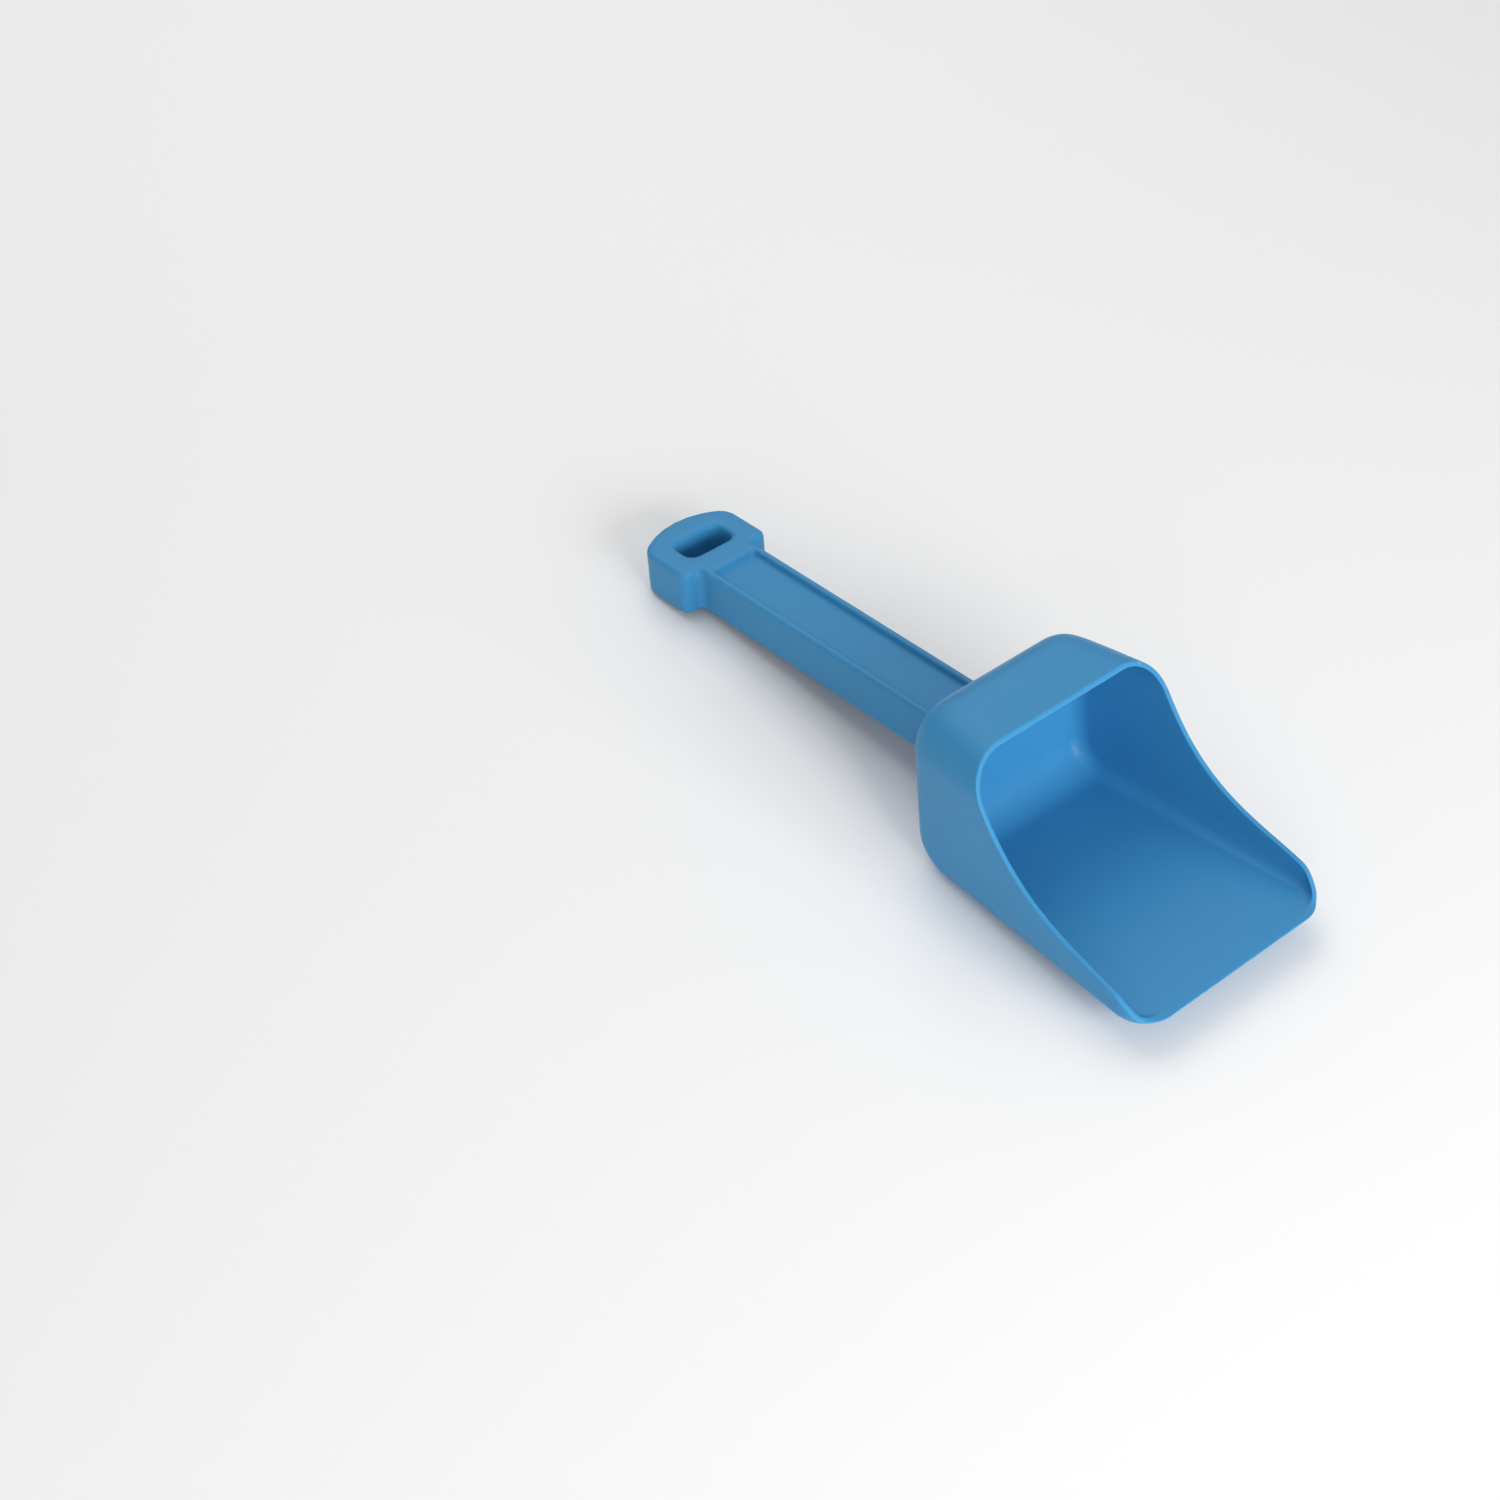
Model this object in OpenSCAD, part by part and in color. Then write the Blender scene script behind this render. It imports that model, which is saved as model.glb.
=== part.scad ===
// Feed scoop: a deep moulded bowl with a short roof and a sloping mouth, and a
// straight channel-section handle that ends in a D-shaped grip with a hanging slot.
// Units are millimetres. +X runs towards the lip and +Z is up. The scoop lies as an
// empty one does, tipped back onto the foot of its bowl and the end of its handle,
// and the origin is on the ground below the middle of its length.
// The modules draw it level, with the bowl's flat underside at z = 0 and its back
// wall and lip equally far from x = 0, and at_rest() then tips it.

/* [Bowl] */
// Length from the top of the back wall to the lip
bowl_l = 138; // [110:0.5:180]
// Height at the back wall
bowl_h = 75.5; // [58:0.5:100]
// Width at the back wall, before its corners are rounded
back_w = 88; // [70:0.5:115]
// Width halfway along
mid_w = 105.5; // [80:0.5:140]
// Width at the lip
lip_w = 105; // [80:0.5:140]
// How much narrower the floor is halfway along, each side
side_draft = 2.3; // [0:0.1:5]
// Lean of the back wall, in degrees
back_lean = 6; // [0:0.5:12]
// Thickness of the walls and roof
wall_t = 2.2; // [1.6:0.1:3.5]
// Thickness of the floor
floor_t = 2.6; // [1.8:0.1:4.5]
// Radius between the roof and the sides at the back wall
roof_r = 20; // [14:0.5:28]
// Radius between the roof and the sides at the mouth
mouth_r = 17.5; // [14:0.5:24]
// Radius round the top and sides of the back wall
back_r = 13; // [6:0.5:18]
// Radius between the back wall and the floor
foot_r = 19; // [12:0.5:26]
// Radius between the floor and the sides at the back wall
floor_back_r = 9; // [6:0.5:12]
// Radius between the floor and the sides halfway along
floor_mid_r = 13; // [7:0.5:18]
// Radius between the floor and the sides at the lip
floor_lip_r = 7; // [5:0.5:12]
// Radius of the lip's corners, seen from above
lip_r = 15; // [9:0.5:24]
// Radius under the lip's edge
lip_edge_r = 5; // [3:0.5:8]

/* [Mouth] */
// Length of the roof
roof_l = 42; // [30:0.5:70]
// Height of the side walls where the lip's corner begins
side_end_h = 12.5; // [8:0.5:20]

/* [Handle] */
// Height of the handle's top face above the underside
handle_z = 44.2; // [34:0.2:60]
// Length from the back wall to the shoulders of the D
handle_l = 161.7; // [120:0.5:200]
// Width of the handle
handle_w = 30; // [24:0.5:38]
// Depth of the handle, top to bottom
handle_h = 21.4; // [16:0.2:28]
// Rounding of the top edges
edge_r = 2.2; // [0.8:0.1:2.6]
// Thickness of the handle's side walls
handle_wall = 2; // [1.6:0.1:3]
// Thickness of the web under the recess
web_t = 2; // [1.6:0.1:3]
// Width of the rails beside the recess
rail_w = 3.6; // [2.4:0.1:6]
// Depth of the recess in the top
recess_d = 3.6; // [1.5:0.1:5]
// Number of cross ribs under the handle
rib_count = 4; // [2:1:8]
// Thickness of a cross rib
rib_t = 1.6; // [1:0.1:2.5]

/* [Hang end] */
// Length of the D, shoulders to end
hang_l = 36.9; // [28:0.5:50]
// Width of the D
hang_w = 47.8; // [38:0.5:60]
// Radius of the D's broad end
hang_end_r = 35; // [28:0.5:60]
// Radius of the D's rear corners
hang_rear_r = 10.2; // [5:0.2:14]
// Radius of the D's shoulders
shoulder_r = 4.6; // [2:0.2:8]
// Radius where the shoulders run into the handle
neck_r = 4; // [2:0.2:8]
// Length of the hanging slot, across the handle
slot_l = 25; // [18:0.5:32]
// Width of the hanging slot
slot_w = 14; // [10:0.5:18]
// Radius of the slot's corners
slot_r = 4.5; // [2:0.1:5]
// Rounding of the slot's top edge
slot_edge_r = 2.4; // [0.5:0.1:3]
// Distance from the shoulders to the slot's centre
slot_x = 15.8; // [10:0.2:24]

/* [Joint] */
// Length of the tongue that plugs into the handle
tongue_l = 22; // [12:1:30]
// Depth of the tongue
tongue_h = 13; // [8:0.5:16]
// Clearance of the tongue in the handle, each side
tongue_fit = 0.1; // [0.05:0.05:0.3]

/* [Hidden] */
$fn = 48;

low_edge_r = 0.8;
eps = 0.01;
back_x = -bowl_l / 2;
lip_x = bowl_l / 2;
stations = [0.22, 0.31, 0.42, 0.54, 0.66, 0.76, 0.85];
rim_z = floor_t - 0.1;
handle_bottom = handle_z - handle_h;
shoulder_x = back_x - handle_l;
channel_w = handle_w - 2 * handle_wall;
channel_top = handle_z - recess_d - web_t;
recess_w = handle_w - 2 * rail_w;
recess_end_x = shoulder_x + 5.5;
recess_r = 1.5;
hang_x = shoulder_x - hang_l;
hang_wall = 2;

// Tipped attitude: the foot's round edge and the hang end's lower edge share the ground
foot_x = back_at(foot_r) + foot_r / cos(back_lean);
tail_x = hang_x + low_edge_r;
tip_run = foot_x - tail_x;
tip_drop = foot_r - low_edge_r - handle_bottom;
tip = asin((foot_r - low_edge_r) / norm([tip_run, tip_drop])) - atan2(tip_drop, tip_run);
ground_z = foot_x * sin(tip) + foot_r * cos(tip) - foot_r;
lip_z = min(rim_z, lip_edge_r * (1 - sin(tip)));
lip_out = lip_x - lip_edge_r + sqrt(pow(lip_edge_r, 2) - pow(lip_edge_r - lip_z, 2));
front_end = lip_out * cos(tip) - lip_z * sin(tip);
rear_end = (hang_x + edge_r) * cos(tip) - (handle_z - edge_r) * sin(tip) - edge_r;
centre_x = (front_end + rear_end) / 2;

// Point at t along a cubic curve through the four control points p
function curve(p, t) =
    pow(1 - t, 3) * p[0] + 3 * pow(1 - t, 2) * t * p[1]
    + 3 * (1 - t) * t * t * p[2] + pow(t, 3) * p[3];

// Distance of the back wall's outer face from its top edge, at height z
function back_at(z) = back_x + (bowl_h - z) * tan(back_lean);

// Torus-edged disc with its axis along Z: outer radius r, edge radius e
module disc(r, e) {
    rotate_extrude($fn = 40)
        intersection() {
            translate([r - e, 0])
                circle(e, $fn = 32);
            translate([0, -e])
                square([r, 2 * e]);
        }
}

// Smooth value at fraction t of the bowl's length, from its values at the back, middle and lip
function along(t, back, mid, lip) =
    back * (1 - t) * (1 - 2 * t) + mid * 4 * t * (1 - t) + lip * t * (2 * t - 1);

// Half width of the bowl at its roof, and of its floor, at fraction t
function half_w(t) = along(t, back_w, mid_w, lip_w) / 2;
function half_floor(t) = half_w(t) - along(t, 0, side_draft, 0);

// Radius of the floor's side edges, and of the roof's, at fraction t
function edge_at(t) = along(t, floor_back_r, floor_mid_r, floor_lip_r);
function roof_at(t) = roof_r + (mouth_r - roof_r) * min(1, t * bowl_l / roof_l);

// Short bar of radius r along X from x, in one corner of a section
module corner_bar(x, y, z, r) {
    translate([x, y, z])
        rotate([0, 90, 0])
            cylinder(r = r, h = 3, $fn = 40);
}

// The bowl's closed outer form; g moves the walls inwards and f raises the floor
module bowl_form(g, f) {
    top_z = bowl_h - roof_r;
    top_x = back_at(top_z) + back_r / cos(back_lean);
    top_t = (top_x - back_x) / bowl_l;
    foot_t = (foot_x - back_x) / bowl_l;
    lift = f - g;
    hull() {
        for (s = [-1, 1]) {
            // top and foot corners of the back wall
            translate([top_x, s * (half_w(top_t) - roof_r), top_z])
                rotate([0, 90 - back_lean, 0])
                    disc(roof_r - g, back_r - g);
            translate([foot_x, s * (half_floor(foot_t) - floor_back_r), foot_r + lift])
                rotate([90, 0, 0])
                    disc(foot_r - g, floor_back_r - g);
            // sections along the bowl
            for (t = stations) {
                x = back_x + t * bowl_l;
                corner_bar(x, s * (half_w(t) - roof_at(t)), bowl_h - roof_at(t), roof_at(t) - g);
                corner_bar(x, s * (half_floor(t) - edge_at(t)), edge_at(t) + lift, edge_at(t) - g);
            }
            // lip corners, and the section above where they begin
            translate([lip_x - lip_r, s * (lip_w / 2 - lip_r), lip_edge_r + lift])
                disc(lip_r - g, lip_edge_r - g);
            corner_bar(lip_x - lip_r - 1, s * (lip_w / 2 - mouth_r), bowl_h - mouth_r, mouth_r - g);
        }
    }
}

// Everything above and in front of the mouth's edge, seen from the side
module mouth_cut() {
    steps = 28;
    roof_end = back_x + roof_l;
    edge = [
        [roof_end, bowl_h],
        [roof_end + 0.162 * bowl_l, 0.3 * bowl_h],
        [roof_end + 0.358 * bowl_l, 0.289 * bowl_h],
        [lip_x - 1.1 * lip_r, side_end_h]
    ];
    fall = [
        edge[3],
        edge[3] + 0.15 * (edge[3] - edge[2]),
        [lip_x - 0.42 * lip_r, rim_z],
        [lip_x - 0.3 * lip_r, rim_z]
    ];
    translate([0, mid_w, 0])
        rotate([90, 0, 0])
            linear_extrude(2 * mid_w)
                polygon(concat(
                    [[roof_end, 2 * bowl_h]],
                    [for (i = [0:steps]) curve(edge, i / steps)],
                    [for (i = [1:12]) curve(fall, i / 12)],
                    [[lip_x + 10, rim_z], [lip_x + 10, 2 * bowl_h]]
                ));
}

// Half-space in front of the back wall's outer face, moved forwards by d
module ahead_of_back(d) {
    translate([back_x, 0, bowl_h])
        rotate([0, -back_lean, 0])
            translate([d, -100, -200])
                cube([200, 200, 300]);
}

// Tongue behind the back wall, a short channel that fills the handle's own
module tongue() {
    w = channel_w - 2 * tongue_fit;
    top = channel_top - tongue_fit;
    x0 = back_x - tongue_l;
    difference() {
        translate([x0, -w / 2, top - tongue_h])
            cube([tongue_l + 20, w, tongue_h]);
        translate([x0 - 1, -w / 2 + wall_t, top - tongue_h - 1])
            cube([tongue_l + 40, w - 2 * wall_t, tongue_h + 1 - wall_t]);
        ahead_of_back(wall_t / 2);
    }
}

// Tips the level scoop back onto the ground
module at_rest() {
    translate([-centre_x, 0, -ground_z])
        rotate([0, -tip, 0])
            children();
}

module bowl() {
    color([0.26, 0.55, 0.73])
        at_rest() {
            difference() {
                bowl_form(0, 0);
                bowl_form(wall_t, floor_t);
                mouth_cut();
            }
            tongue();
        }
}

// Handle section, seen from the hang end: width along X, height along Y
module bar_section() {
    half = handle_w / 2;
    translate([-half + edge_r, 0])
        square([2 * (half - edge_r), handle_h]);
    translate([-half, low_edge_r])
        square([2 * half, handle_h - edge_r - low_edge_r]);
    translate([-half + low_edge_r, 0])
        square([2 * (half - low_edge_r), handle_h / 2]);
    for (s = [-1, 1]) {
        translate([s * (half - low_edge_r), low_edge_r])
            circle(low_edge_r);
        translate([s * (half - edge_r), handle_h - edge_r])
            circle(edge_r);
    }
}

// Outline of the recess, seen from the hang end, with its floor at y = 0
module recess_section() {
    translate([-recess_w / 2 + recess_r, 0])
        square([recess_w - 2 * recess_r, recess_d + 1]);
    translate([-recess_w / 2, recess_r])
        square([recess_w, recess_d + 1 - recess_r]);
    for (s = [-1, 1]) {
        translate([s * (recess_w / 2 - recess_r), recess_r])
            circle(recess_r);
    }
}

// Extrudes a handle section along X from x0 over length l
module along_x(x0, l) {
    translate([x0, 0, 0])
        rotate([90, 0, 90])
            linear_extrude(l)
                children();
}

// Centres of the round corners of the D, rear arc first
function hang_centres() =
    let (
        reach = hang_end_r - hang_rear_r,
        half = hang_w / 2 - hang_rear_r,
        a = asin(half / reach)
    )
    [for (i = [-3:3]) [hang_x + hang_end_r - reach * cos(i * a / 3), reach * sin(i * a / 3)]];

// Solid D with softened edges
module hang_block() {
    hull() {
        for (c = hang_centres()) {
            translate([c[0], c[1], 0])
                hang_corner(hang_rear_r);
        }
        for (s = [-1, 1]) {
            translate([shoulder_x - shoulder_r, s * (hang_w / 2 - shoulder_r), 0])
                hang_corner(shoulder_r);
        }
    }
}

module hang_corner(r) {
    translate([0, 0, handle_bottom + low_edge_r])
        disc(r, low_edge_r);
    translate([0, 0, handle_z - edge_r])
        disc(r, edge_r);
}

// Pocket under the D, leaving its walls and top plate
module hang_pocket() {
    translate([0, 0, handle_bottom - 1])
        linear_extrude(handle_h - hang_wall + 1)
            hull() {
                for (c = hang_centres()) {
                    translate(c)
                        circle(hang_rear_r - hang_wall);
                }
                for (s = [-1, 1]) {
                    translate([shoulder_x - shoulder_r, s * (hang_w / 2 - shoulder_r)])
                        circle(shoulder_r - hang_wall);
                }
            }
}

// Slot outline grown by g
module slot_outline(g) {
    x = slot_w / 2 - slot_r;
    y = slot_l / 2 - slot_r;
    translate([shoulder_x - slot_x, 0]) {
        square([slot_w + 2 * g, 2 * y], center = true);
        square([2 * x, slot_l + 2 * g], center = true);
        for (sx = [-1, 1]) {
            for (sy = [-1, 1]) {
                translate([sx * x, sy * y])
                    circle(slot_r + g);
            }
        }
    }
}

// Rounding tool for the slot's top edge, made of two halves turned half round
module slot_softening() {
    x = slot_w / 2 - slot_r;
    y = slot_l / 2 - slot_r;
    translate([shoulder_x - slot_x, 0, handle_z - slot_edge_r]) {
        for (turn = [0, 180]) {
            rotate([0, 0, turn]) {
                translate([x, y, 0])
                    rotate_extrude(angle = 90)
                        softening_profile();
                translate([x, -y, 0])
                    rotate([0, 0, -90])
                        rotate_extrude(angle = 90)
                            softening_profile();
                translate([x, y, 0])
                    rotate([90, 0, 0])
                        linear_extrude(2 * y)
                            softening_profile();
                translate([-x, y, 0])
                    rotate([90, 0, 90])
                        linear_extrude(2 * x)
                            softening_profile();
            }
        }
    }
}

module softening_profile() {
    translate([slot_r, 0])
        difference() {
            translate([-1, 0])
                square([slot_edge_r + 1, slot_edge_r + 1]);
            translate([slot_edge_r, 0])
                circle(slot_edge_r);
        }
}

// Concave corners where the shoulders meet the handle's sides
module necks() {
    for (s = [-1, 1]) {
        translate([shoulder_x + neck_r, s * (handle_w / 2 + neck_r), handle_bottom + low_edge_r])
            difference() {
                translate([-neck_r - eps, s > 0 ? -neck_r - eps : 0, 0])
                    cube([neck_r + eps, neck_r + eps, handle_h - low_edge_r - edge_r]);
                translate([0, 0, -1])
                    cylinder(r = neck_r, h = handle_h);
            }
    }
}

module handle() {
    rib_from = recess_end_x;
    rib_to = back_x - tongue_l - 4;
    rib_step = (rib_to - rib_from) / rib_count;
    color([0.24, 0.52, 0.70])
        at_rest()
            difference() {
                union() {
                    difference() {
                        union() {
                            translate([0, 0, handle_bottom])
                                along_x(shoulder_x - shoulder_r, handle_l + 40)
                                    bar_section();
                            hang_block();
                            necks();
                        }
                        // channel under the web
                        translate([shoulder_x - hang_wall, -channel_w / 2, handle_bottom - 1])
                            cube([handle_l + 40, channel_w, channel_top - handle_bottom + 1]);
                        hang_pocket();
                        // recess in the top
                        translate([0, 0, handle_z - recess_d])
                            along_x(recess_end_x, handle_l + 40)
                                recess_section();
                    }
                    // wall around the hanging slot
                    translate([0, 0, handle_bottom])
                        linear_extrude(handle_h - hang_wall / 2)
                            slot_outline(hang_wall);
                    // cross ribs
                    for (i = [0:rib_count]) {
                        translate([rib_from + i * rib_step - rib_t,
                                   -channel_w / 2 - 0.5, handle_bottom + 2])
                            cube([rib_t, channel_w + 1, channel_top - handle_bottom - 1.5]);
                    }
                }
                translate([0, 0, handle_bottom - 1])
                    linear_extrude(handle_h + 2)
                        slot_outline(0);
                slot_softening();
                ahead_of_back(0);
            }
}

bowl();
handle();
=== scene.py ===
"""Feed scoop: its looks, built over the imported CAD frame.

Both pieces are made again with softer moulded edges, inside the CAD model's box. They are
shaped level, with the bowl's flat underside at z = 0 and its back wall and lip equally far
from x = 0, and then tipped back as the scoop rests on the ground.
"""
import bisect
import math

import bmesh
import bpy
from mathutils import Matrix, Vector
from mathutils.bvhtree import BVHTree


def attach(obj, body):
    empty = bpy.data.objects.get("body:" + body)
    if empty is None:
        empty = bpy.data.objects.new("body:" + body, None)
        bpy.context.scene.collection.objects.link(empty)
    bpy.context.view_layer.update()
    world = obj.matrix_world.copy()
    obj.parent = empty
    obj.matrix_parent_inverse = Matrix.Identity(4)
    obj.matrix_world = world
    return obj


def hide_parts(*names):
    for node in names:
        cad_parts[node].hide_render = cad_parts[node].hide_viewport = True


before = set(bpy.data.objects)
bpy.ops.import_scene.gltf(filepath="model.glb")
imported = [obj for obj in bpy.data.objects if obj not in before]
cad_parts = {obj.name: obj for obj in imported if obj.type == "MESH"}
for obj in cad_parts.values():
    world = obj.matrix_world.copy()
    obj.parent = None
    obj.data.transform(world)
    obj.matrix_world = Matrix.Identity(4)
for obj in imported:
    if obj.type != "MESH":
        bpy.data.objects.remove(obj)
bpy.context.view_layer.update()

MM = 0.001

# Bowl, in millimetres
BOWL_L = 138.0
BOWL_H = 75.5
BACK_W, MID_W, LIP_W = 88.0, 105.5, 105.0
SIDE_DRAFT = 2.3
BACK_LEAN = math.radians(6)
WALL, FLOOR = 2.2, 2.6
ROOF_R, MOUTH_R = 20.0, 17.5
BACK_R, FOOT_R = 13.0, 19.0
EDGE_BACK, EDGE_MID, EDGE_LIP = 9.0, 13.0, 7.0
LIP_R, LIP_EDGE = 15.0, 5.0
ROOF_L = 42.0
SIDE_END_H = 12.5
BACK_X, LIP_X = -BOWL_L / 2, BOWL_L / 2
RIM_Z = FLOOR - 0.1  # height at which the mouth's edge ends, just under the floor's surface

# Handle, in millimetres; its top face is at HANDLE_Z
HANDLE_Z, HANDLE_L, HANDLE_W, HANDLE_H = 44.2, 161.7, 30.0, 21.4
HANDLE_WALL, RECESS_D, WEB_T = 2.0, 3.6, 2.0
TOP_EDGE_R, LOW_EDGE_R = 2.2, 0.8
HANG_L = 36.9
HANG_X = BACK_X - HANDLE_L - HANG_L
CHANNEL_W = HANDLE_W - 2 * HANDLE_WALL
CHANNEL_TOP = HANDLE_Z - RECESS_D - WEB_T

# Tongue behind the bowl, in millimetres, a little looser in the channel than the CAD one
TONGUE_L, TONGUE_H, TONGUE_FIT = 22.0, 13.0, 0.15
TONGUE_INSET = 0.1
TONGUE_BEVEL = 0.35

# Fineness of the bowl's mesh
SHRINK = 0.08  # millimetres that keep the finer curves inside the CAD model's box
ROUNDS, ARC = 96, 24
STATIONS = 33
RINGS = 90
ROOF_POINTS, SIDE_POINTS, LIP_POINTS = 48, 240, 72
RIM_SOFT = 0.7  # width of the rounding on each side of the rim, in millimetres

# Softening of the handle's edges
HANDLE_VOXEL = 0.75 * MM
SMOOTHING = 10


# ---------------------------------------------------------------- bowl
def along(t, back, mid, lip):
    """Smooth value at fraction t of the bowl's length, from its back, middle and lip values."""
    return back * (1 - t) * (1 - 2 * t) + mid * 4 * t * (1 - t) + lip * t * (2 * t - 1)


def half_w(t):
    """Half the bowl's width at its roof."""
    return along(t, BACK_W, MID_W, LIP_W) / 2


def half_floor(t):
    """Half the width of its floor."""
    return half_w(t) - along(t, 0, SIDE_DRAFT, 0)


def edge_at(t):
    """Radius of the floor's side edges."""
    return along(t, EDGE_BACK, EDGE_MID, EDGE_LIP)


def roof_at(t):
    """Radius of the roof's side edges."""
    return ROOF_R + (MOUTH_R - ROOF_R) * min(1, t * BOWL_L / ROOF_L)


def back_at(z):
    """Where the back wall's outer face is, at height z."""
    return BACK_X + (BOWL_H - z) * math.tan(BACK_LEAN)


FOOT_X = back_at(FOOT_R) + FOOT_R / math.cos(BACK_LEAN)


def level_to_rest():
    """Tips the level scoop back onto the foot of its bowl and the end of its handle."""
    run = FOOT_X - (HANG_X + LOW_EDGE_R)
    drop = FOOT_R - LOW_EDGE_R - (HANDLE_Z - HANDLE_H)
    tip = math.asin((FOOT_R - LOW_EDGE_R) / math.hypot(run, drop)) - math.atan2(drop, run)
    sin, cos = math.sin(tip), math.cos(tip)
    ground_z = FOOT_X * sin + FOOT_R * cos - FOOT_R
    lip_z = min(RIM_Z, LIP_EDGE * (1 - sin))
    lip_out = LIP_X - LIP_EDGE + math.sqrt(LIP_EDGE**2 - (LIP_EDGE - lip_z) ** 2)
    front = lip_out * cos - lip_z * sin
    rear = (HANG_X + TOP_EDGE_R) * cos - (HANDLE_Z - TOP_EDGE_R) * sin - TOP_EDGE_R
    shift = Vector((-(front + rear) / 2, 0, -ground_z)) * MM
    return Matrix.Translation(shift) @ Matrix.Rotation(-tip, 4, "Y")


LEVEL_TO_REST = level_to_rest()


def disc(radius, edge):
    """Points of a disc with a round edge, its axis along Z."""
    for j in range(ARC + 1):
        lean = math.pi * (j / ARC - 0.5)
        reach, z = radius - edge + edge * math.cos(lean), edge * math.sin(lean)
        for i in range(ROUNDS):
            turn = 2 * math.pi * i / ROUNDS
            yield Vector((reach * math.cos(turn), reach * math.sin(turn), z))


def ring(x, y, z, radius):
    """Points of a circle that faces along X."""
    for i in range(ROUNDS):
        turn = 2 * math.pi * i / ROUNDS
        yield Vector((x, y + radius * math.cos(turn), z + radius * math.sin(turn)))


def bowl_form(g, f):
    """Closed form of the bowl with its walls moved inwards by g and its floor raised by f."""
    lift = f - g
    top_z = BOWL_H - ROOF_R
    top_x = back_at(top_z) + BACK_R / math.cos(BACK_LEAN)
    top_t, foot_t = (top_x - BACK_X) / BOWL_L, (FOOT_X - BACK_X) / BOWL_L
    first_t, last_t = 0.12, 0.87
    lean = Matrix.Rotation(math.pi / 2 - BACK_LEAN, 3, "Y")
    upright = Matrix.Rotation(math.pi / 2, 3, "X")
    points = []
    for s in (-1, 1):
        top = Vector((top_x, s * (half_w(top_t) - ROOF_R), top_z))
        foot = Vector((FOOT_X, s * (half_floor(foot_t) - EDGE_BACK), FOOT_R + lift))
        lip = Vector((LIP_X - LIP_R, s * (LIP_W / 2 - LIP_R), LIP_EDGE + lift))
        points += [top + lean @ p for p in disc(ROOF_R - g, BACK_R - g)]
        points += [foot + upright @ p for p in disc(FOOT_R - g, EDGE_BACK - g)]
        points += [lip + p for p in disc(LIP_R - g, LIP_EDGE - g)]
        for i in range(STATIONS):
            t = first_t + (last_t - first_t) * i / (STATIONS - 1)
            x = BACK_X + t * BOWL_L
            high, low = roof_at(t), edge_at(t)
            points += ring(x, s * (half_w(t) - high), BOWL_H - high, high - g)
            if t > foot_t + 0.01:
                points += ring(x, s * (half_floor(t) - low), low + lift, low - g)
    bm = bmesh.new()
    for p in points:
        bm.verts.new(p)
    bmesh.ops.convex_hull(bm, input=bm.verts)
    tree = BVHTree.FromBMesh(bm)
    bm.free()
    return tree


def bezier(controls, t):
    """Point at t along a cubic curve through four control points."""
    weights = ((1 - t) ** 3, 3 * t * (1 - t) ** 2, 3 * t * t * (1 - t), t**3)
    return sum((p * w for p, w in zip(controls, weights)), Vector((0, 0)))


def mouth_profile():
    """Edge of the mouth from the side, roof first, as points (x, z)."""
    start = Vector((BACK_X + ROOF_L, BOWL_H))
    second = Vector((start.x + 0.162 * BOWL_L, 0.3 * BOWL_H))
    third = Vector((start.x + 0.358 * BOWL_L, 0.289 * BOWL_H))
    end = Vector((LIP_X - 1.1 * LIP_R, SIDE_END_H))
    after = end + 0.15 * (end - third)
    low, last = Vector((LIP_X - 0.42 * LIP_R, RIM_Z)), Vector((LIP_X - 0.3 * LIP_R, RIM_Z))
    edge_steps, fall_steps = 300, 200
    edge = [bezier((start, second, third, end), i / edge_steps) for i in range(edge_steps + 1)]
    fall = [bezier((end, after, low, last), i / fall_steps) for i in range(1, fall_steps + 1)]
    beyond = Vector((LIP_X + 2, RIM_Z))
    return edge + fall + [beyond]


def place_along(path, marks, want):
    """Point at length `want` along a path, whose points lie at the lengths `marks`."""
    k = min(max(bisect.bisect_right(marks, want) - 1, 0), len(path) - 2)
    span = marks[k + 1] - marks[k]
    return path[k].lerp(path[k + 1], min(1, max(0, (want - marks[k]) / span)))


def lengths(path):
    """Length along a path at each of its points."""
    marks = [0.0]
    for a, b in zip(path, path[1:]):
        marks.append(marks[-1] + (b - a).length)
    return marks


def resampled(path, count):
    """The path's points spread evenly along its length."""
    marks = lengths(path)
    return [place_along(path, marks, marks[-1] * i / count) for i in range(count + 1)]


def mouth_loop(tree):
    """Where the mouth's edge meets one closed form, all round: roof, one side, lip, other side."""
    halvings, side_steps = 40, 600
    profile = mouth_profile()
    marks = lengths(profile)

    def on_side(want):
        """Point of the side wall beside the profile's point at length `want`, if there is one."""
        p = place_along(profile, marks, want)
        return tree.ray_cast(Vector((p.x, 0, p.y)), Vector((0, 1, 0)))[0]

    def crossing(outside, inside):
        """Length at which the profile enters the form, found by halving."""
        for _ in range(halvings):
            middle = (outside + inside) / 2
            if on_side(middle):
                inside = middle
            else:
                outside = middle
        return inside

    held = [m for m in marks if on_side(m)]
    first, last = crossing(0.0, held[0]), crossing(marks[-1], held[-1])
    roof_end, lip_end = (place_along(profile, marks, m) for m in (first, last))
    t = (roof_end.x - BACK_X) / BOWL_L
    side = [Vector((roof_end.x, half_w(t) - roof_at(t), roof_end.y))]
    for i in range(1, side_steps):
        u = i / side_steps
        side.append(on_side(first + (last - first) * u * u * (3 - 2 * u)))
    side.append(Vector((lip_end.x, LIP_W / 2 - LIP_R, lip_end.y)))
    roof = resampled([Vector((roof_end.x, 0, roof_end.y)), side[0]], ROOF_POINTS)
    front = resampled([side[-1], Vector((lip_end.x, 0, lip_end.y))], LIP_POINTS)
    half = roof[:-1] + resampled(side, SIDE_POINTS)[:-1] + front
    return half + [Vector((p.x, -p.y, p.z)) for p in reversed(half[1:-1])]


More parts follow.
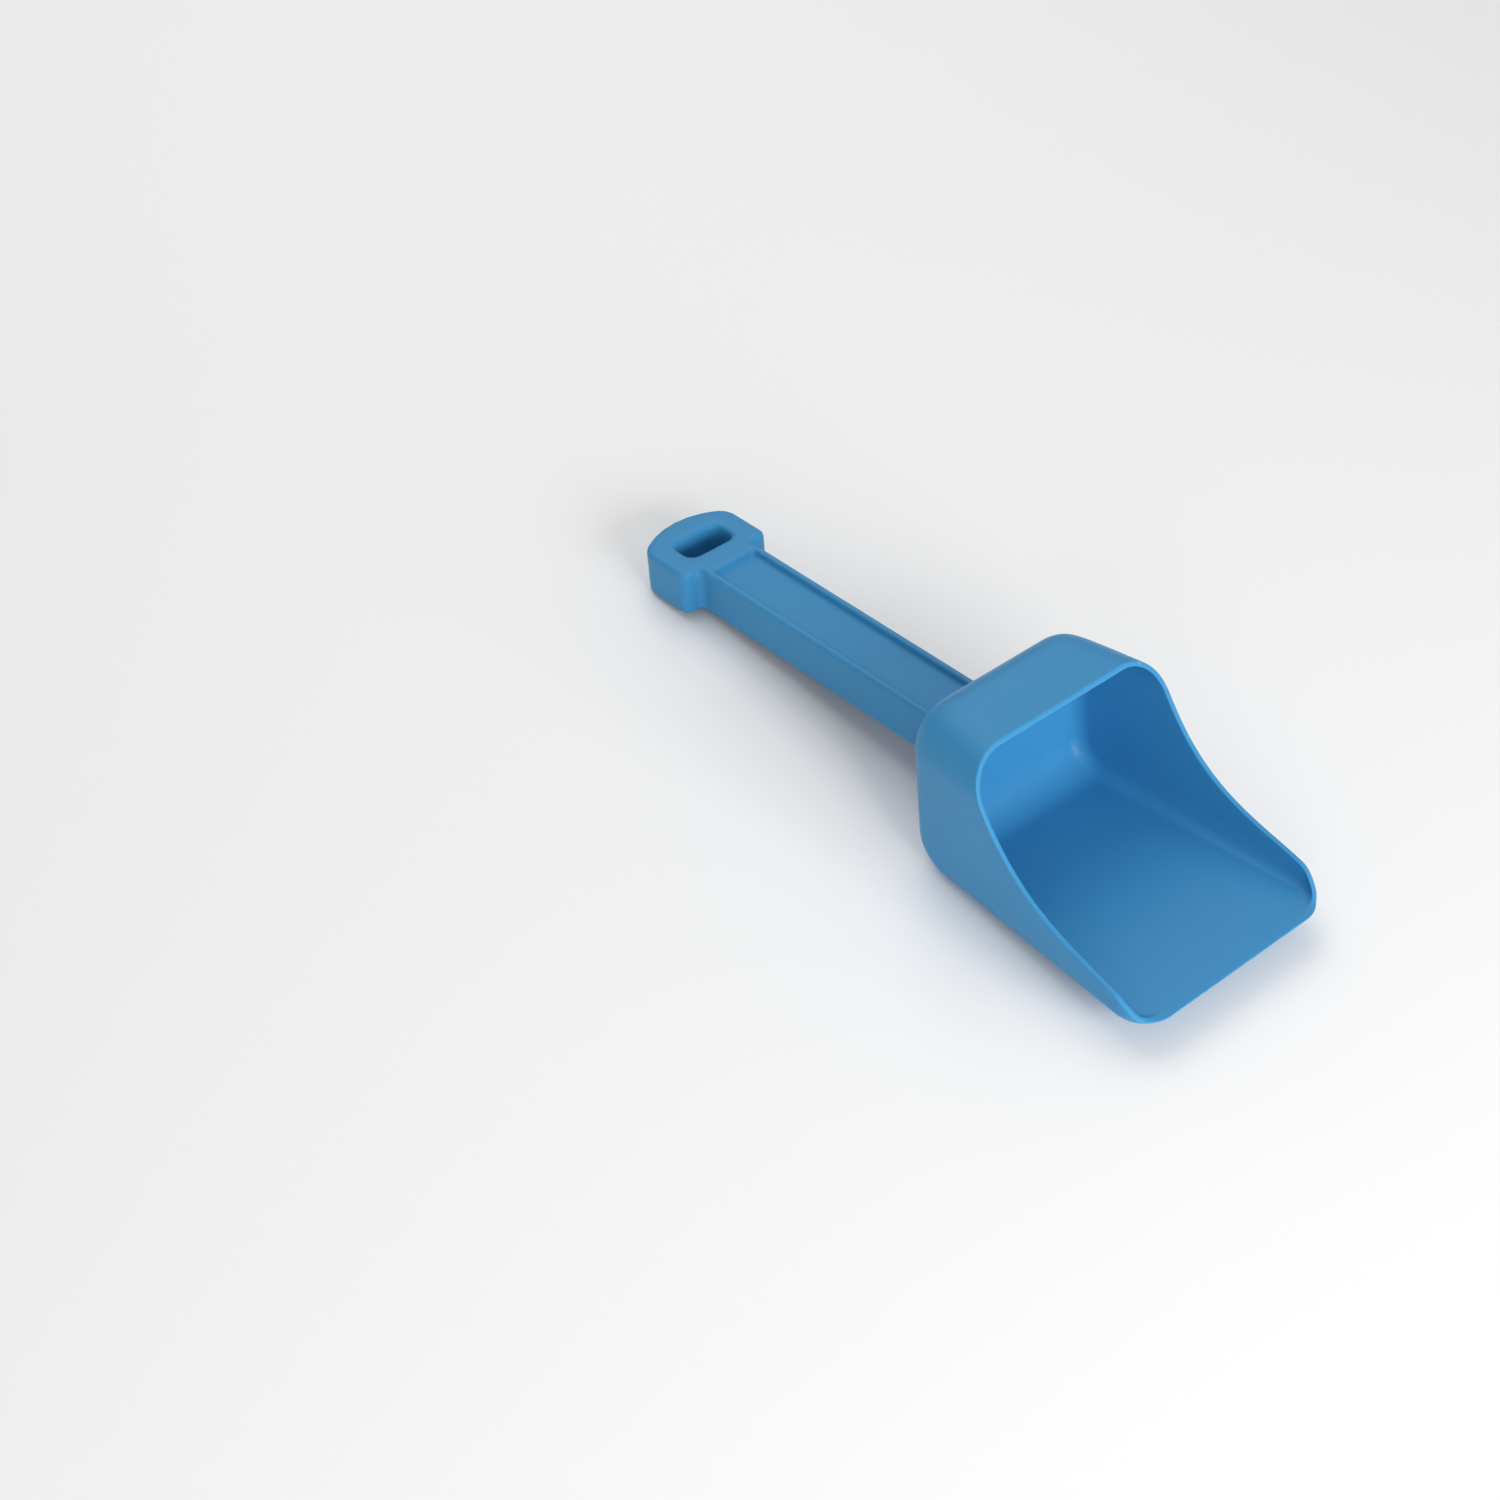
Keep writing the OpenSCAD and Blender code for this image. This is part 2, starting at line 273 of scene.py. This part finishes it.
# The bowl's walls are met by rays from CENTRE, and its mesh grows from the ray along POLE
CENTRE = Vector((0, 0, 34))
POLE = Vector((-0.8, 0, -0.6)).normalized()


def on_form(tree, toward):
    """Point of a closed form that a ray from CENTRE meets."""
    return tree.ray_cast(CENTRE, toward)[0]


def around(loop, place):
    """Index before a fractional place in a closed loop, the index after it, and the rest."""
    k, part = int(place) % len(loop), place - int(place)
    return k, (k + 1) % len(loop), part


def swept(a, b, t):
    """Direction at fraction t of the way round from a to b."""
    angle = a.angle(b)
    return (a * math.sin((1 - t) * angle) + b * math.sin(t * angle)) / math.sin(angle)


def shell(bm, tree, loop):
    """Rings of points over one closed form, from its pole to RIM_SOFT before the mouth's edge.

    Ring j holds 8j points, so the faces stay much the same size. Returns the last ring.
    """
    fine = 60
    tables = []
    for p in loop:
        toward = (p - CENTRE).normalized()
        marks, before = [0.0], on_form(tree, POLE)
        for i in range(1, fine + 1):
            here = on_form(tree, swept(POLE, toward, i / fine)) or p
            marks.append(marks[-1] + (here - before).length)
            before = here
        tables.append(marks)

    def fraction(marks, share):
        """Fraction of the way round at which this share of the length is reached."""
        want = (marks[-1] - RIM_SOFT) * share
        k = 0
        while k < fine - 1 and marks[k + 1] < want:
            k += 1
        return (k + (want - marks[k]) / max(1e-9, marks[k + 1] - marks[k])) / fine

    grid = [[bm.verts.new(on_form(tree, POLE))]]
    for j in range(1, RINGS + 1):
        row = []
        share = j / RINGS
        for i in range(8 * j):
            k, after, part = around(loop, i / (8 * j) * len(loop))
            toward = (loop[k].lerp(loop[after], part) - CENTRE).normalized()
            t = fraction(tables[k], share) * (1 - part) + fraction(tables[after], share) * part
            row.append(bm.verts.new(on_form(tree, swept(POLE, toward, t))))
        grid.append(row)
    for j in range(1, RINGS + 1):
        inner, outer = grid[j - 1], grid[j]
        for side in range(8):
            for i in range(j):
                a, b = outer[(side * j + i) % (8 * j)], outer[(side * j + i + 1) % (8 * j)]
                low = (side * (j - 1) + i) % max(1, 8 * (j - 1))
                c = inner[low]
                if i < j - 1:
                    d = inner[(low + 1) % (8 * (j - 1))]
                    bm.faces.new((a, b, d, c))
                else:
                    bm.faces.new((a, b, c))
    return grid[-1]


def bridge(bm, a, b):
    """Four-sided faces between two closed rings of as many points."""
    for i in range(len(a)):
        k = (i + 1) % len(a)
        bm.faces.new((a[i], b[i], b[k], a[k]))


def rounded_edge(bm, before, corners, after, steps=4):
    """Round strip from ring `before`, over the sharp corner points, to the points `after`."""
    row = before
    for s in range(1, steps + 1):
        t = s / steps
        new = [
            bm.verts.new(v.co * (1 - t) ** 2 + c * 2 * t * (1 - t) + e * t * t)
            for v, c, e in zip(before, corners, after)
        ]
        bridge(bm, row, new)
        row = new
    return row


def mesh_object(name, bm):
    """Turns a level mesh in millimetres into an object in the shared frame."""
    bmesh.ops.recalc_face_normals(bm, faces=bm.faces)
    bm.transform(LEVEL_TO_REST @ Matrix.Scale(MM, 4))
    me = bpy.data.meshes.new(name)
    bm.to_mesh(me)
    bm.free()
    me.shade_smooth()
    ob = bpy.data.objects.new(name, me)
    bpy.context.scene.collection.objects.link(ob)
    return ob


def make_bowl():
    """The bowl: an outer and an inner shell, joined by a rim with two rounded edges."""
    outer, inner = bowl_form(SHRINK, SHRINK), bowl_form(WALL, FLOOR)
    outer_loop, inner_loop = mouth_loop(outer), mouth_loop(inner)
    bm = bmesh.new()
    out_ring = shell(bm, outer, outer_loop)
    in_ring = shell(bm, inner, inner_loop)
    count = len(out_ring)

    def spread(loop):
        """The mouth's edge at as many points as the last rings hold."""
        for i in range(count):
            k, after, part = around(loop, i / count * len(loop))
            yield loop[k].lerp(loop[after], part)

    out_edge, in_edge = list(spread(outer_loop)), list(spread(inner_loop))
    inward = [(b - a).normalized() * RIM_SOFT for a, b in zip(out_edge, in_edge)]
    out_end = [p + d for p, d in zip(out_edge, inward)]
    in_end = [p - d for p, d in zip(in_edge, inward)]
    out_flat = rounded_edge(bm, out_ring, out_edge, out_end)
    in_flat = rounded_edge(bm, in_ring, in_edge, in_end)
    bridge(bm, out_flat, in_flat)
    add_tongue(bm)
    return mesh_object("scoop_bowl", bm)


def add_tongue(bm):
    """The U-shaped tongue behind the back wall."""
    half = CHANNEL_W / 2 - TONGUE_FIT
    top = CHANNEL_TOP - TONGUE_FIT
    low = top - TONGUE_H + TONGUE_INSET
    outline = [
        (-half, low), (-half, top), (half, top), (half, low),
        (half - WALL, low), (half - WALL, top - WALL), (-half + WALL, top - WALL), (-half + WALL, low),
    ]
    ends = []
    for inside in (False, True):
        row = []
        for y, z in outline:
            x = back_at(z) + WALL / 2 if inside else BACK_X - TONGUE_L + TONGUE_INSET
            row.append(bm.verts.new((x, y, z)))
        ends.append(row)
        bm.faces.new(row if inside else row[::-1])
    bridge(bm, *ends)
    edges = {e for row in ends for v in row for e in v.link_edges}
    bmesh.ops.bevel(
        bm, geom=list(edges), offset=TONGUE_BEVEL, segments=3, profile=0.5, affect="EDGES"
    )


# ---------------------------------------------------------------- handle
def make_handle():
    """The CAD handle with its edges and corners softened as moulding leaves them."""
    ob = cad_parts["handle"].copy()
    ob.data = ob.data.copy()
    ob.name = ob.data.name = "scoop_handle"
    bpy.context.scene.collection.objects.link(ob)
    # remeshed while level, so that the voxels line up with the handle's faces
    ob.data.transform(LEVEL_TO_REST.inverted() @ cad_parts["handle"].matrix_world)
    ob.parent = None
    ob.matrix_world = Matrix.Identity(4)
    bm = bmesh.new()
    bm.from_mesh(ob.data)
    bmesh.ops.remove_doubles(bm, verts=bm.verts, dist=1e-6)
    bm.to_mesh(ob.data)
    bm.free()
    remesh = ob.modifiers.new("even", "REMESH")
    remesh.mode = "VOXEL"
    remesh.voxel_size = HANDLE_VOXEL
    remesh.use_smooth_shade = True
    soften = ob.modifiers.new("soft", "SMOOTH")
    soften.factor = 0.5
    soften.iterations = SMOOTHING
    bpy.context.view_layer.objects.active = ob
    for other in bpy.context.selected_objects:
        other.select_set(False)
    ob.select_set(True)
    for modifier in ("even", "soft"):
        bpy.ops.object.modifier_apply(modifier=modifier)
    ob.data.transform(LEVEL_TO_REST)
    ob.data.shade_smooth()
    return ob


# ---------------------------------------------------------------- materials
def moulded_plastic(name, colour, deep):
    """Satin moulded polypropylene: fine mould texture, faint flow marks, paler edges that are partly
    wear and partly painted highlight.
    """
    material = bpy.data.materials.new(name)
    material.use_nodes = True
    tree = material.node_tree
    shader = tree.nodes["Principled BSDF"]

    def node(kind, **sockets):
        made = tree.nodes.new(kind)
        for key, value in sockets.items():
            made.inputs[key.replace("_", " ")].default_value = value
        return made

    def link(source, out, target, into):
        tree.links.new(source.outputs[out], target.inputs[into])

    where = node("ShaderNodeTexCoord")
    # slow colour variation from the moulding
    cloud = node("ShaderNodeTexNoise", Scale=14.0, Detail=3.0, Roughness=0.5)
    link(where, "Object", cloud, "Vector")
    tone = node("ShaderNodeMix")
    tone.data_type = "RGBA"
    tone.inputs["A"].default_value = (*deep, 1)
    tone.inputs["B"].default_value = (*colour, 1)
    spread = node("ShaderNodeMapRange", From_Min=0.3, From_Max=0.7, To_Min=0.72, To_Max=1.0)
    link(cloud, "Fac", spread, "Value")
    link(spread, "Result", tone, "Factor")
    # pale wear and painted highlight where edges stand out
    shape = node("ShaderNodeNewGeometry")
    edges = node("ShaderNodeMapRange", From_Min=0.515, From_Max=0.60, To_Min=0.0, To_Max=1.0)
    link(shape, "Pointiness", edges, "Value")
    patches = node("ShaderNodeTexNoise", Scale=160.0, Detail=4.0, Roughness=0.65)
    link(where, "Object", patches, "Vector")
    broken = node("ShaderNodeMapRange", From_Min=0.35, From_Max=0.65, To_Min=0.25, To_Max=0.6)
    link(patches, "Fac", broken, "Value")
    edge_wear_and_highlight = node("ShaderNodeMath")
    edge_wear_and_highlight.operation = "MULTIPLY"
    link(edges, "Result", edge_wear_and_highlight, 0)
    link(broken, "Result", edge_wear_and_highlight, 1)
    worn_and_highlit = node("ShaderNodeMix")
    worn_and_highlit.data_type = "RGBA"
    link(tone, "Result", worn_and_highlit, "A")
    # paler colour along the edges: partly wear, partly painted highlight on the rims
    worn_and_highlit.inputs["B"].default_value = (*[min(1, c * 1.35 + 0.06) for c in colour], 1)
    link(edge_wear_and_highlight, "Value", worn_and_highlit, "Factor")
    link(worn_and_highlit, "Result", shader, "Base Color")
    # satin sheen that varies a little
    matt = node("ShaderNodeMapRange", From_Min=0.3, From_Max=0.7, To_Min=0.34, To_Max=0.44)
    link(patches, "Fac", matt, "Value")
    link(matt, "Result", shader, "Roughness")
    shader.inputs["IOR"].default_value = 1.49
    shader.inputs["Specular IOR Level"].default_value = 0.2
    # fine mould texture and slight waviness
    grain = node("ShaderNodeTexNoise", Scale=2200.0, Detail=2.0, Roughness=0.6)
    link(where, "Object", grain, "Vector")
    fine = node("ShaderNodeBump", Strength=0.08, Distance=0.0002)
    link(grain, "Fac", fine, "Height")
    wave = node("ShaderNodeBump", Strength=0.12, Distance=0.002)
    link(cloud, "Fac", wave, "Height")
    link(fine, "Normal", wave, "Normal")
    link(wave, "Normal", shader, "Normal")
    return material


def plain(name, colour, rough):
    """One even colour, for the floor."""
    material = bpy.data.materials.new(name)
    material.use_nodes = True
    shader = material.node_tree.nodes["Principled BSDF"]
    shader.inputs["Base Color"].default_value = (*colour, 1)
    shader.inputs["Roughness"].default_value = rough
    return material


# ---------------------------------------------------------------- stage
def make_camera():
    """The photograph's camera, looking down at the scoop's mouth from one side."""
    data = bpy.data.cameras.new("camera")
    data.sensor_width = 36.0
    data.lens = 62.41
    data.clip_start = 0.02
    cam = bpy.data.objects.new("camera", data)
    right = Vector((0.6444, 0.76469, 0.00154)).normalized()
    up = Vector((-0.52593, 0.44173, 0.72682)).normalized()
    back = right.cross(up).normalized()
    up = back.cross(right)
    turn = Matrix((right, up, back)).transposed().to_4x4()
    cam.matrix_world = Matrix.Translation((0.54850, -0.56181, 0.74181)) @ turn
    bpy.context.scene.collection.objects.link(cam)
    bpy.context.scene.camera = cam


def make_floor():
    """A plain pale floor, 16 m across."""
    half = 8.0
    bm = bmesh.new()
    quarters = ((-1, -1), (1, -1), (1, 1), (-1, 1))
    bm.faces.new([bm.verts.new((x * half, y * half, 0)) for x, y in quarters])
    me = bpy.data.meshes.new("floor")
    bm.to_mesh(me)
    bm.free()
    me.materials.append(plain("floor", (0.93, 0.93, 0.93), 0.7))
    ob = bpy.data.objects.new("floor", me)
    bpy.context.scene.collection.objects.link(ob)


def soft_light(name, place, size, power):
    """A rectangular softbox that faces the scoop; metres and watts."""
    aim = Vector((0, 0, 0.03))
    data = bpy.data.lights.new(name, "AREA")
    data.shape = "RECTANGLE"
    data.size, data.size_y = size
    data.energy = power
    ob = bpy.data.objects.new(name, data)
    ob.location = place
    ob.rotation_euler = (aim - Vector(place)).to_track_quat("-Z", "Y").to_euler()
    bpy.context.scene.collection.objects.link(ob)


def make_lights():
    """A broad softbox ahead of the mouth, weaker ones beside and behind, and a pale sky."""
    soft_light("front", (1.5, -0.1, 0.6), (1.0, 0.7), 20)
    soft_light("right", (1.0, -1.1, 0.6), (0.6, 0.45), 2.5)
    soft_light("behind", (-0.9, 0.3, 1.3), (1.5, 1.5), 10)
    world = bpy.data.worlds.new("world")
    world.use_nodes = True
    tree = world.node_tree
    where = tree.nodes.new("ShaderNodeTexCoord")
    split = tree.nodes.new("ShaderNodeSeparateXYZ")
    tree.links.new(where.outputs["Generated"], split.inputs[0])
    # from the horizon's strength to the zenith's
    rise = tree.nodes.new("ShaderNodeMapRange")
    tree.links.new(split.outputs["Z"], rise.inputs["Value"])
    rise.inputs["To Min"].default_value = 0.35
    rise.inputs["To Max"].default_value = 0.45
    background = tree.nodes["Background"]
    tree.links.new(rise.outputs["Result"], background.inputs["Strength"])
    background.inputs["Color"].default_value = (1, 1, 1, 1)
    bpy.context.scene.world = world
    bpy.context.scene.view_settings.view_transform = "Standard"


make_camera()
make_floor()
make_lights()

blue = moulded_plastic("blue_plastic", (0.046, 0.272, 0.535), (0.040, 0.245, 0.495))
for piece, node_name in ((make_bowl(), "bowl"), (make_handle(), "handle")):
    piece.data.materials.clear()
    piece.data.materials.append(blue)
    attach(piece, "root")
    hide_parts(node_name)
